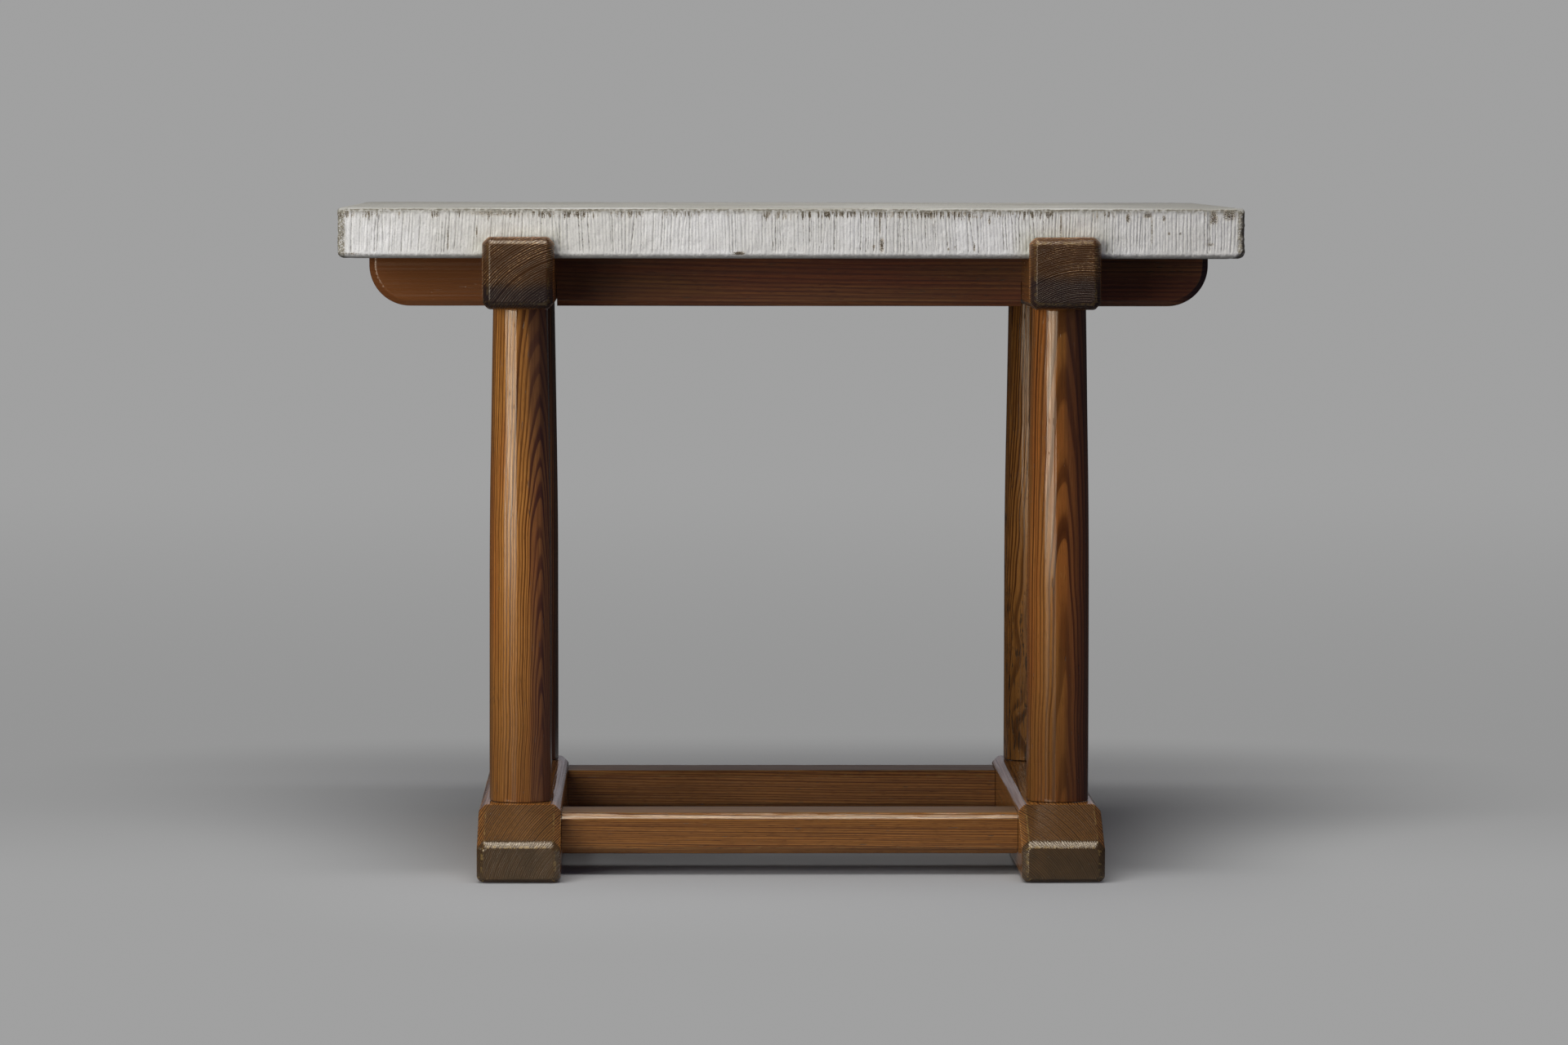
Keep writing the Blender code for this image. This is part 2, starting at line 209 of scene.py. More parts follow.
class Graph:
    """Short names for building the nodes of a material or a world."""

    def __init__(self, owner):
        owner.use_nodes = True
        self.owner = owner
        self.tree = owner.node_tree

    def node(self, kind, *inputs, **named):
        """A node with inputs in their order, and with inputs or settings by name."""
        made = self.tree.nodes.new("ShaderNode" + kind)
        for name, value in named.items():
            if name in made.inputs:
                self.feed(made.inputs[name], value)
            else:
                setattr(made, name, value)
        for slot, value in zip(made.inputs, inputs):
            self.feed(slot, value)
        return made

    def feed(self, slot, value):
        if value is None:
            return
        if isinstance(value, bpy.types.NodeSocket):
            self.tree.links.new(value, slot)
        else:
            slot.default_value = value

    def set(self, name, value):
        """Give one of the main shader's own sockets its value."""
        self.feed(self.tree.nodes["Principled BSDF"].inputs[name], value)

    def surface(self, shader):
        """Make a shader the outcome of the whole tree."""
        output = next(node for node in self.tree.nodes if node.type.startswith("OUTPUT"))
        self.tree.links.new(shader, output.inputs["Surface"])

    def coordinate(self, kind):
        return self.node("TexCoord").outputs[kind]

    def parts(self, vector):
        return self.node("SeparateXYZ", vector).outputs

    def camera_ray(self):
        return self.node("LightPath").outputs["Is Camera Ray"]

    def math(self, operation, a, b=None):
        return self.node("Math", a, b, operation=operation).outputs[0]

    def total(self, first, *others):
        for other in others:
            first = self.math("ADD", first, other)
        return first

    def times(self, first, *others):
        for other in others:
            first = self.math("MULTIPLY", first, other)
        return first

    def minus(self, a, b):
        return self.math("SUBTRACT", a, b)

    def vector(self, operation, a, b=None):
        made = self.node("VectorMath", a, b, operation=operation)
        return made.outputs["Value"] if operation == "LENGTH" else made.outputs[0]

    def joined(self, x, y, z):
        return self.node("CombineXYZ", x, y, z).outputs[0]

    def noise(self, place, scale, detail=2, roughness=0.5):
        """Noise with one scale, or with a scale for each axis."""
        if isinstance(scale, tuple):
            place, scale = self.vector("MULTIPLY", place, scale), 1
        made = self.node("TexNoise", Vector=place, Scale=scale, Detail=detail, Roughness=roughness)
        return made.outputs["Fac"]

    def ramp(self, value, stops):
        """A ramp through stops, each a place and a colour or a grey level."""
        made = self.node("ValToRGB", value)
        elements = made.color_ramp.elements
        while len(elements) < len(stops):
            elements.new(1)
        for element, (place, colour) in zip(elements, stops):
            element.position = place
            grey = isinstance(colour, (int, float))
            element.color = (colour, colour, colour, 1) if grey else (*colour, 1)
        return made.outputs["Color"]

    def mix(self, share, a, b, blend="MIX"):
        made = self.node("Mix", data_type="RGBA", blend_type=blend)
        self.feed(made.inputs[0], share)
        for slot, value in ((made.inputs[6], a), (made.inputs[7], b)):
            self.feed(slot, (*value, 1) if isinstance(value, tuple) and len(value) == 3 else value)
        return made.outputs[2]

    def layered(self, colour, *layers):
        """A colour under layers, each the share that it covers and its own colour."""
        for share, layer in layers:
            colour = self.mix(share, colour, layer)
        return colour

    def spread(self, value, low, high, to_low=0, to_high=1):
        """Ease from one level to another while the value runs from low to high."""
        return self.node("MapRange", value, low, high, to_low, to_high,
                         interpolation_type="SMOOTHSTEP").outputs[0]

    def attribute(self, name):
        return self.node("Attribute", attribute_name=name).outputs["Fac"]

    def bump(self, height, distance, strength):
        return self.node("Bump", Height=height, Distance=distance, Strength=strength).outputs[0]


def stage_material():
    """Floor that fades into the backdrop's colour round the object's shadow."""
    graph = Graph(bpy.data.materials.new("stage"))
    spread, times, minus, pick = graph.spread, graph.times, graph.minus, graph.math
    graph.set("Base Color", (*BACKDROP, 1))
    graph.set("Roughness", 0.9)
    graph.set("Specular IOR Level", 0.1)
    x, y = graph.parts(graph.coordinate("Object"))[:2]
    aside = pick("MAXIMUM", minus(pick("ABSOLUTE", x), 0.27), 0)
    aside = times(aside, spread(y, -0.2, 0.5, 2, 1))
    behind = times(pick("MAXIMUM", minus(y, 0.92), 0), 1.25)
    beyond = pick("MAXIMUM", behind, minus(-0.3, y))
    fade = spread(graph.vector("LENGTH", graph.joined(aside, beyond, 0)), 0, 0.78)
    seen = graph.camera_ray()
    # Painted shade: a faint dimming where the floor meets the backdrop
    dim = times(spread(y, -0.45, 0.7), spread(y, 1.2, 9, 0.15, 0))
    lit = minus(spread(seen, 0, 1, 0.08, 1), times(dim, seen))
    glow = graph.node("Emission", (*BACKDROP, 1), lit).outputs[0]
    floor = graph.tree.nodes["Principled BSDF"].outputs[0]
    graph.surface(graph.node("MixShader", fade, floor, glow).outputs[0])
    return graph.owner


def make_stage():
    floor_shape = bmesh.new()
    bmesh.ops.create_circle(floor_shape, cap_ends=True, segments=96, radius=FLOOR_RADIUS)
    mesh = bpy.data.meshes.new("floor")
    floor_shape.to_mesh(mesh)
    floor_shape.free()
    mesh.materials.append(stage_material())
    floor = add_object("floor", mesh)
    floor.location.z = -FLOOR_DROP


def make_world():
    """The camera sees the backdrop's colour; other rays see a dim room with the backdrop behind."""
    world = bpy.data.worlds.new("studio")
    bpy.context.scene.world = world
    graph = Graph(world)
    x, y = graph.parts(graph.coordinate("Generated"))[:2]
    narrow = graph.node("MapRange", graph.math("ABSOLUTE", x), 0.16, 0.3, 1, 0).outputs[0]
    behind = graph.node("MapRange", y, 0.5, 0.8, 0, 0.24).outputs[0]
    level = graph.total(graph.times(narrow, behind), 0.024)
    room = graph.node("Background", (0.95, 0.91, 1, 1), level).outputs[0]
    seen = graph.node("Background", (*BACKDROP, 1), 1).outputs[0]
    graph.surface(graph.node("MixShader", graph.camera_ray(), room, seen).outputs[0])


def softbox(name, place, target, width, height, watts, colour=(1, 1, 1)):
    data = bpy.data.lights.new(name, "AREA")
    data.shape = "RECTANGLE"
    data.size, data.size_y = width, height
    data.energy, data.color = watts, colour
    lamp = add_object(name, data)
    lamp.location = place
    aim = Vector(target) - Vector(place)
    lamp.rotation_mode = "QUATERNION"
    lamp.rotation_quaternion = aim.to_track_quat("-Z", "Y")
    return lamp


def make_lights():
    softbox("key", (-2.1, -3.2, 1.25), (-0.1, -0.2, 0.5), 2.8, 2.3, 77)
    softbox("left core", (-2.38, -2.42, 0.95), (-0.3, -0.26, 0.5), 0.3, 1.4, 7)
    softbox("right core", (-1.38, -2.75, 0.95), (0.3, -0.26, 0.5), 0.2, 1.4, 6)
    fill = softbox("fill", (2.6, -3.4, 1.1), (0.1, -0.2, 0.45), 2.6, 2, 19, (0.64, 0.62, 1))
    fill.visible_glossy = False
    softbox("top", (-0.6, -0.85, 2.9), (-0.2, -0.35, 0.5), 2.5, 1.6, 49)
    softbox("strip", (-0.1, -0.62, 2.5), (-0.1, -0.42, 0.4), 2.6, 0.3, 22)


# The worn pieces of wood: each is a skin over rings of points, with its wear kept as an attribute

def corner_arc(before, corner, after, radius):
    """Three points that round a corner, with the wear that each shows."""
    to_before, to_after = before - corner, after - corner
    reach = min(radius, 0.4 * to_before.length, 0.4 * to_after.length)
    start = corner + to_before.normalized() * reach
    end = corner + to_after.normalized() * reach
    return [(start, 0.35), (corner * 0.5 + (start + end) * 0.25, 1), (end, 0.35)]


def rounded_ring(corners, steps, radius):
    """A closed ring of points and wear through rounded corners, with steps between them."""
    count = len(corners)
    arcs = [corner_arc(corners[i - 1], corners[i], corners[(i + 1) % count], radius)
            for i in range(count)]
    ring = []
    for i in range(count):
        ring += arcs[i]
        start, end = arcs[i][-1][0], arcs[(i + 1) % count][0][0]
        for step in range(1, steps[i]):
            ring.append((start.lerp(end, step / steps[i]), 0))
    return ring


def block_ring(half, low, high, low_cut, high_cut, radius):
    """A chamfered rectangle, from its lower left corner round to the right."""
    corners = [Vector(pair) for pair in (
        (-half + low_cut, low), (half - low_cut, low), (half, low + low_cut),
        (half, high - high_cut), (half - high_cut, high), (-half + high_cut, high),
        (-half, high - high_cut), (-half, low + low_cut))]
    return rounded_ring(corners, (7, 2, 6, 2, 7, 2, 6, 2), radius)


def weathered(ring, place, seed):
    """Hollow a ring a little and nick its arrises; place turns ring points into space."""
    count = len(ring)
    moved = []
    for i, (point, wear) in enumerate(ring):
        along = ring[(i + 1) % count][0] - ring[i - 1][0]
        inward = Vector((-along.y, along.x)).normalized()
        spot = place(point)
        wave = 0.5 + 0.5 * noise.noise(spot * 14 + seed)
        depth = HOLLOW * wave * (1 if wear == 0 else 0.6)
        if wear:
            nick = noise.noise(spot * 75 + seed) + 0.6 * noise.noise(spot * 24 + seed * 2)
            depth += NICK * wear * max(0, nick - 0.15)
        moved.append((place(point + inward * depth), wear))
    return moved


def end_on(ring, centre, y, share, seed):
    """A weathered ring of a foot or bearer; the arris round its end face is marked as worn."""
    placed = weathered(ring, lambda point: Vector((centre + point.x, y, point.y)), seed)
    worn = 0.6 < share < 1.1
    return [(point, 1 if worn and point.z > SOLE_DIRT_HEIGHT else wear) for point, wear in placed]


def join_rows(faces, first, second, count):
    """Faces between two rows of points that start at two places and both have count points."""
    for i in range(count):
        j = (i + 1) % count
        faces.append((first + i, first + j, second + j, second + i))


def skin(name, rings):
    """A closed mesh over rings of points, capped at both ends."""
    count = len(rings[0])
    points, wear, faces = [], [], []
    for ring in rings:
        for point, worn in ring:
            points.append(point)
            wear.append(worn)
    last = (len(rings) - 1) * count
    for low in range(0, last, count):
        join_rows(faces, low, low + count, count)
    for first in (0, last):
        centre = sum((points[first + i] for i in range(count)), Vector()) / count
        outer = first
        for reach in CAP_REACHES:
            inner = len(points)
            for i in range(count):
                spoke = centre - points[first + i]
                points.append(points[first + i] + spoke * min(0.85, reach / spoke.length))
                wear.append(0)
            join_rows(faces, outer, inner, count)
            outer = inner
        faces.append(tuple(range(outer, outer + count)))
    mesh = mesh_with(name, points, faces, {"wear": wear})
    facing_out(mesh)
    return mesh


def mesh_with(name, points, faces, attributes):
    """A mesh whose points carry attributes, each a name and a value for every point."""
    mesh = bpy.data.meshes.new(name)
    mesh.from_pydata(points, [], faces)
    for attribute, values in attributes.items():
        mesh.attributes.new(attribute, "FLOAT", "POINT").data.foreach_set("value", values)
    return mesh


def facing_out(mesh):
    shape = bmesh.new()
    shape.from_mesh(mesh)
    bmesh.ops.recalc_face_normals(shape, faces=shape.faces)
    shape.to_mesh(mesh)
    shape.free()


def worn_piece(node, rings):
    return add_object("worn_" + node, skin(node.partition("_")[0], rings))


def box_mesh(corner, opposite):
    shape = bmesh.new()
    bmesh.ops.create_cube(shape, size=1)
    low, high = (Vector(map(pick, corner, opposite)) for pick in (min, max))
    bmesh.ops.scale(shape, vec=high - low, verts=shape.verts)
    bmesh.ops.translate(shape, vec=(low + high) / 2, verts=shape.verts)
    return shape


def rod_mesh(place, radius, low, high, sides=48):
    shape = bmesh.new()
    centre = Matrix.Translation((place[0], place[1], (low + high) / 2))
    bmesh.ops.create_cone(shape, cap_ends=True, segments=sides, radius1=radius, radius2=radius,
                          depth=high - low, matrix=centre)
    return shape


def combine(piece, shapes, operation="DIFFERENCE"):
    """Cut shapes from a piece, or join them to it, and keep the outcome as its mesh."""
    whole = bmesh.new()
    for shape in shapes:
        part = bpy.data.meshes.new("part")
        shape.to_mesh(part)
        shape.free()
        whole.from_mesh(part)
        bpy.data.meshes.remove(part)
    mesh = bpy.data.meshes.new("tool")
    whole.to_mesh(mesh)
    whole.free()
    facing_out(mesh)
    tool = add_object("tool", mesh)
    modifier = piece.modifiers.new("combine", "BOOLEAN")
    modifier.object, modifier.operation, modifier.solver = tool, operation, "EXACT"
    graph = bpy.context.evaluated_depsgraph_get()
    made = bpy.data.meshes.new_from_object(piece.evaluated_get(graph))
    piece.modifiers.clear()
    piece.data = made
    bpy.data.objects.remove(tool, do_unlink=True)
    bpy.data.meshes.remove(mesh)


def finish_piece(piece, node, material):
    """Shade a piece smooth between its arrises and let it stand for its CAD node."""
    piece.data.materials.clear()
    piece.data.materials.append(material)
    piece.data.shade_smooth()
    piece.data.set_sharp_from_angle(angle=math.radians(50))
    weigh = piece.modifiers.new("normals", "WEIGHTED_NORMAL")
    weigh.keep_sharp = True
    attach(piece, "frame")
    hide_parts(node)


def end_stations(chamfer):
    """Depths and insets that round the two arrises of an end chamfer."""
    r, lean = ARRIS_RADIUS, ARRIS_RADIUS * math.sqrt(0.5)
    return [(0, chamfer + r), (0.25 * lean, chamfer), (lean, chamfer - lean),
            (chamfer - lean, lean), (chamfer, 0.15 * r), (chamfer + r, 0)]


def bowed_stations(run, knee=(0.92, 0.06)):
    """Depths, and shares of the inset, of an end chamfer that bows into the sides."""
    stations = [(0, 1.14), (0.04, 1.03)]
    for step in range(8):
        t = step / 7
        depth = 0.12 * (1 - t) ** 2 + 2 * knee[0] * t * (1 - t) + 1.45 * t * t
        stations.append((depth, 0.9 * (1 - t) ** 2 + 2 * knee[1] * t * (1 - t)))
    return [(depth * run, share) for depth, share in stations]


def both_halves(end, chamfer, middle):
    """Places and chamfer shares of a piece's rings, from its front end over the middle to its rear."""
    front = [(-end + depth, share) for depth, share in chamfer] + [(y, 0) for y in middle]
    return front + [(-y, share) for y, share in reversed(front[:-1])]


def clamped(value):
    return min(1, max(0, value))


def noise_at(x, y, z):
    return noise.noise(Vector((x, y, z)))


def spaced(start, end, step):
    count = max(1, round(abs(end - start) / step))
    return [start + (end - start) * i / count for i in range(count + 1)]


def column_place(side, end):
    return SIDES[side] * TRESTLE_SPACING / 2, ENDS[end] * COLUMN_SPACING / 2


def tenon_hole(side, end, low, high):
    return rod_mesh(column_place(side, end), TENON_RADIUS + CLEARANCE, low - OVERCUT, high + OVERCUT)


def peg_hole(side, end):
    low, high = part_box("peg_%s_%s" % (end, side))
    middle = [(a + b) / 2 for a, b in zip(low, high)]
    return rod_mesh(middle, PEG_RADIUS + CLEARANCE, -OVERCUT, high[2] + CLEARANCE, PEG_HOLE_SIDES)


def stub_box(end, x, other_x, room):
    """A stretcher's stub tenon between two places in X, or with room its mortise."""
    low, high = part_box("stretcher_" + end)
    y, z = (low[1] + high[1]) / 2, (low[2] + high[2]) / 2
    wide, tall = STUB_THICKNESS / 2 + room, STUB_HEIGHT / 2 + room
    return box_mesh((x, y - wide, z - tall), (other_x, y + wide, z + tall))


def build_foot(side):
    low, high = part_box("foot_" + side)
    centre, half = (low[0] + high[0]) / 2, (high[0] - low[0]) / 2
    end, seed = high[1], Vector((3.1, 7.7, SIDES[side] * 5.3))
    slope_top = end - FOOT_SLOPE_RUN
    chamfer = bowed_stations(FOOT_CHAMFER_RUN)
    middle = spaced(-end + chamfer[-1][0] + 0.004, -slope_top - 0.003, 0.006)
    middle += [-slope_top - 0.0005, -slope_top + 0.002] + spaced(-slope_top + 0.008, 0, 0.009)
    rings = []
    for y, share in both_halves(end, chamfer, middle):
        climbed = clamped((end - abs(y)) / FOOT_SLOPE_RUN)
        top = FOOT_END_HEIGHT + (high[2] - FOOT_END_HEIGHT) * climbed
        inset = FOOT_CHAMFER * share
        low_cut = SOLE_CHAMFER * (1 - 0.4 * min(1, share))
        high_cut = FOOT_CHAMFER - 0.0055 * min(1, share)
        ring = block_ring(half - inset * 0.9, low[2] + inset * 0.5, top - inset * 0.55,
                          low_cut, high_cut, FOOT_ARRIS_RADIUS)
        rings.append(end_on(ring, centre, y, share, seed))
    foot = worn_piece("foot_" + side, rings)
    inner_face = centre - SIDES[side] * half
    deep = inner_face + SIDES[side] * (STUB_LENGTH + CLEARANCE)
    over = inner_face - SIDES[side] * OVERCUT
    cuts = []
    for end_name in ENDS:
        cuts += [tenon_hole(side, end_name, 0, high[2]), stub_box(end_name, deep, over, CLEARANCE)]
    combine(foot, cuts)
    combine(foot, [peg_hole(side, end_name) for end_name in ENDS])
    return foot


def build_bearer(side):
    low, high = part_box("bearer_" + side)
    centre, half = (low[0] + high[0]) / 2, (high[0] - low[0]) / 2
    end, seed = high[1], Vector((13.1, 2.7, SIDES[side] * 9.3))
    chamfer = bowed_stations(BEARER_CHAMFER_RUN, (0.58, 0.22))
    rings = []
    for y, share in both_halves(end, chamfer, spaced(-end + chamfer[-1][0] + 0.004, 0, 0.008)):
        inset = BEARER_CHAMFER * share
        uneven = BEARER_CHAMFER * (1 + 0.1 * noise_at(y * 9, centre, 1.5))
        cut = uneven * (1 - 0.72 * min(1, share))
        ring = block_ring(half - inset, low[2] + inset, high[2] - inset, cut, cut, BEARER_ARRIS_RADIUS)
        rings.append(end_on(ring, centre, y, share, seed))
    bearer = worn_piece("bearer_" + side, rings)
    seat = high[2] - LUG_RISE
    reach = end - LUG_THICKNESS
    lap = (low[2] + seat) / 2
    left, right, over = centre - 2 * half, centre + 2 * half, high[2] + OVERCUT
    combine(bearer, [box_mesh((left, -reach, seat), (right, reach, over))])
    cuts = []
    for end_name in ENDS:
        cuts.append(tenon_hole(side, end_name, low[2], high[2]))
        apron_low, apron_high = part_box("apron_" + end_name)
        cuts.append(box_mesh((left, apron_low[1] - CLEARANCE, lap),
                             (right, apron_high[1] + CLEARANCE, over)))
    combine(bearer, cuts)
    return bearer


def worn_edge(wear, height, top):
    """More wear on the upper chamfers and most on the top, where shoes have rubbed."""
    if height > top - 0.0006:
        return 2
    return max(wear, 0.7) if height > top - STRETCHER_CHAMFER - 0.001 else wear


def build_stretcher(end):
    low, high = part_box("stretcher_" + end)
    centre, half = (low[1] + high[1]) / 2, (high[1] - low[1]) / 2
    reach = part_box("foot_right")[0][0] - CLEARANCE
    seed = Vector((23.1, 4.7, ENDS[end] * 3.3))
    rings = []
    for x in spaced(-reach, reach, 0.008):
        cut = STRETCHER_CHAMFER * (1 + 0.12 * noise_at(x * 8, centre, 4.5))
        ring = block_ring(half, low[2], high[2], cut, cut, ARRIS_RADIUS)
        placed = weathered(ring, lambda point, x=x: Vector((x, centre + point.x, point.y)), seed)
        rings.append([(point, worn_edge(wear, point.z, high[2])) for point, wear in placed])
    stretcher = worn_piece("stretcher_" + end, rings)
    inner, outer = reach - OVERCUT, reach + CLEARANCE + STUB_LENGTH
    stubs = [stub_box(end, sign * inner, sign * outer, 0) for sign in SIDES.values()]
    combine(stretcher, stubs, "UNION")
    combine(stretcher, [peg_hole(side, end) for side in SIDES])
    return stretcher


def apron_loop(low, high, inset):
    """Front view of an apron, drawn in by inset at its ends and bottom."""
    half = high[0] - inset
    radius = APRON_CORNER_RADIUS - inset
    bottom = low[2] + inset
    arc = []
    for step in range(25):
        angle = math.pi / 2 * step / 24
        arc.append((half - radius + radius * math.sin(angle), bottom + radius - radius * math.cos(angle)))
    rise = [(half, z) for z in spaced(bottom + radius, high[2], 0.006)[1:]]
    top = [(x, high[2]) for x in spaced(half, 0, 0.012)[1:]]
    base = [(x, bottom) for x in spaced(0, half - radius, 0.008)[:-1]]
    right = base + arc + rise + top
    left = [(-x, z) for x, z in reversed(right[1:-1])]
    return right + left


def build_apron(end):
    low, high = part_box("apron_" + end)
    near, far = low[1], high[1]
    seed = Vector((31, 1.7, ENDS[end] * 6.1))
    front = end_stations(APRON_CHAMFER)
    levels = [(near + depth, inset) for depth, inset in front]
    levels += [(y, 0) for y in spaced(levels[-1][0], far - front[-1][0], 0.006)[1:-1]]
    levels += [(far - depth, inset) for depth, inset in reversed(front)]
    rings = []
    for y, inset in levels:
        ring = []
        arris = float(min(abs(inset - APRON_CHAMFER), abs(inset - 0.15 * ARRIS_RADIUS)) < 1e-6)
        for x, z in apron_loop(low, high, inset):
            spot = Vector((x, y, z))
            wave = 0.5 + 0.5 * noise.noise(spot * 14 + seed)
            draw = HOLLOW * wave + NICK * arris * max(0, noise.noise(spot * 60 + seed))
            shrink = 1 - draw / high[0]
            rise = draw if z < high[2] - 0.002 else 0
            ring.append((Vector((x * shrink, y, min(z + rise, high[2]))), arris))
        rings.append(ring)
    apron = worn_piece("apron_" + end, rings)
    lap = (low[2] + high[2]) / 2
    cuts = []
    for side in SIDES:
        bearer_low, bearer_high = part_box("bearer_" + side)
        cuts.append(box_mesh((bearer_low[0] - CLEARANCE, near - OVERCUT, low[2] - OVERCUT),
                             (bearer_high[0] + CLEARANCE, far + OVERCUT, lap + CLEARANCE)))
    combine(apron, cuts)
    return apron


def column_radius(share):
    """Nearly straight up to the belly, then tapering, with the bend between them eased."""
    bend = COLUMN_BEND_SHARE
    past = clamped((share - COLUMN_BELLY_SHARE + bend) / (2 * bend))
    eased = max(0, share - COLUMN_BELLY_SHARE - bend) + bend * past * past
    low_slope = (COLUMN_BELLY_RADIUS - COLUMN_BASE_RADIUS) / COLUMN_BELLY_SHARE
    high_slope = (COLUMN_TOP_RADIUS - COLUMN_BELLY_RADIUS) / (1 - COLUMN_BELLY_SHARE)
    return COLUMN_BASE_RADIUS + low_slope * share + (high_slope - low_slope) * eased


def column_ring(radius, z, flats, seed):
    """A ring round a planed column, with slightly uneven flats, or a round one without any."""
    ring = []
    for step in range(COLUMN_STEPS):
        angle = 2 * math.pi * step / COLUMN_STEPS
        total = 0
        for turn, share, number in flats:
            wobble = math.radians(0.8) * noise_at(number * 3.7, z * 5, seed)
            off = (angle - turn - wobble + math.pi) % (2 * math.pi) - math.pi
            if abs(off) < math.radians(40):
                depth = radius * share + 0.00012 * noise_at(number * 5.1, z * 9, seed + 7)
                total += (radius / (depth * (1 + 0.31 * off * off))) ** 420
        reach = radius * total ** (-1 / 420) if flats else radius
        ring.append((Vector((math.sin(angle) * reach, -math.cos(angle) * reach, z)), 0))
    return ring


def round_ring(radius, z):
    return column_ring(radius, z, (), 0)


def wedge_room(place, outer, towards):
    """The saw kerf that a wedge sits in."""
    inner = outer + towards * (WEDGE_LENGTH + CLEARANCE)
    outer = outer - towards * CLEARANCE
    head, tip = WEDGE_HEAD / 2 + CLEARANCE, WEDGE_TIP / 2 + CLEARANCE
    shape = bmesh.new()
    corners = []
    for x in (-TENON_RADIUS - OVERCUT, TENON_RADIUS + OVERCUT):
        outline = ((-head, outer), (head, outer), (tip, inner), (-tip, inner))
        corners.append([shape.verts.new((place[0] + x, place[1] + y, z)) for y, z in outline])
    shape.faces.new(corners[0])
    shape.faces.new(list(reversed(corners[1])))
    for i in range(4):
        j = (i + 1) % 4
        shape.faces.new((corners[0][i], corners[1][i], corners[1][j], corners[0][j]))
    return shape


def build_column(side, end):
    low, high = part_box("column_%s_%s" % (end, side))
    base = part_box("foot_" + side)[1][2] + CLEARANCE
    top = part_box("bearer_" + side)[0][2] - CLEARANCE
    place = column_place(side, end)
    draw = random.Random("%s %s" % (side, end))
    seed = draw.uniform(0, 50)
    count, first_flat = FLATS[side, end]
    flats = []
    for number in range(count):
        turn = math.radians(first_flat + 360 / count * number + draw.uniform(-1, 1))
        flats.append((turn, 1 + draw.uniform(-0.006, 0.002), number))
    rings = [round_ring(TENON_RADIUS - TENON_CHAMFER, low[2]),
             round_ring(TENON_RADIUS, low[2] + TENON_CHAMFER), round_ring(TENON_RADIUS, base)]
    levels = [base, base + 0.0008] + spaced(base + 0.004, top - 0.004, 0.009) + [top - 0.0008, top]
    for z in levels:
        radius = column_radius((z - base) / (top - base))
        if z in (base, top):
            radius -= SHOULDER_EASE
        rings.append(column_ring(radius, z, flats, seed))
    rings += [round_ring(TENON_RADIUS, top), round_ring(TENON_RADIUS, high[2] - TENON_CHAMFER),
              round_ring(TENON_RADIUS - TENON_CHAMFER, high[2])]
    placed = [[(point + Vector((*place, 0)), wear) for point, wear in ring] for ring in rings]
    column = worn_piece("column_%s_%s" % (end, side), placed)
    combine(column, [wedge_room(place, low[2], 1), wedge_room(place, high[2], -1)])
    return column


# The slab: its edges carry real comb marks

def slab_path(half_x, half_y):
    """Points round the slab with their outward directions and the distance run so far."""
    r = SLAB_CORNER
    path, run = [], 0
    for dx, dy in ((1, 0), (0, 1), (-1, 0), (0, -1)):
        length = 2 * ((half_x if dx else half_y) - r)
        x, y = dy * half_x - dx * (half_x - r), -dx * half_y - dy * (half_y - r)
        out = Vector((dy, -dx))
        count = round(length / SLAB_STEP)
        for i in range(count):
            done = length * i / count
            path.append((Vector((x + dx * done, y + dy * done)), out, run + done, 1))
        run += length
        centre = Vector((x + dx * length, y + dy * length)) - out * r
        for i in range(CORNER_STEPS):
            angle = math.pi / 2 * i / CORNER_STEPS
            towards = Vector((out.x * math.cos(angle) + dx * math.sin(angle),
                              out.y * math.cos(angle) + dy * math.sin(angle)))
            path.append((centre + towards * r, towards, run + r * angle, 0))
        run += r * math.pi / 2
    return path, run


def groove_places(length):
    """Unevenly spaced grooves: place, depth, slant, half width and how far from each arris they fade."""
    draw = random.Random(41)
    grooves, place = [], -2 * RIB_PITCH
    while place < length + 2 * RIB_PITCH:
        place += RIB_PITCH * draw.choice((0.6, 0.8, 0.95, 1, 1.08, 1.25))
        slant = 0.1 * noise_at(place * 11, 4.4, 9.1) + draw.gauss(0, 0.012)
        if draw.random() < 0.04:
            slant += draw.choice((-0.09, 0.09))
        gaps = [draw.uniform(0, 0.012 if draw.random() < 0.3 else 0.004) for _ in range(2)]
        grooves.append((place, draw.choice((0.12, 0.3, 0.5, 0.9)) * draw.uniform(0.8, 1.2), slant,
                        draw.uniform(0.00042, 0.00068), gaps[0], gaps[1]))
    return grooves


def groove_depth(grooves, first, run, rise, thickness):
    """Depth of the comb marks at a spot, from 0 to about 1, and how far a rib stands out there."""
    deepest, nearest = 0, 1
    for place, depth, slant, half_width, top_gap, low_gap in grooves[max(0, first - 2):first + 3]:
        wave = 0.0004 * noise_at(place * 40, rise * 60, 3.3)
        off = abs(run - place - slant * (rise - thickness / 2) - wave)
        nearest = min(nearest, off)
        top_fade = clamped((thickness - 0.003 - top_gap - rise) / 0.003)
        low_fade = clamped((rise - 0.0045 - low_gap) / 0.0025)
        deepest = max(deepest, depth * math.exp(-(off / half_width) ** 2) * top_fade * low_fade)
    crown = clamped(1 - (nearest / (0.55 * RIB_PITCH)) ** 2)
    inside = clamped((min(thickness - rise, rise) - 0.004) / 0.004)
    return deepest, 0.2 * crown * inside


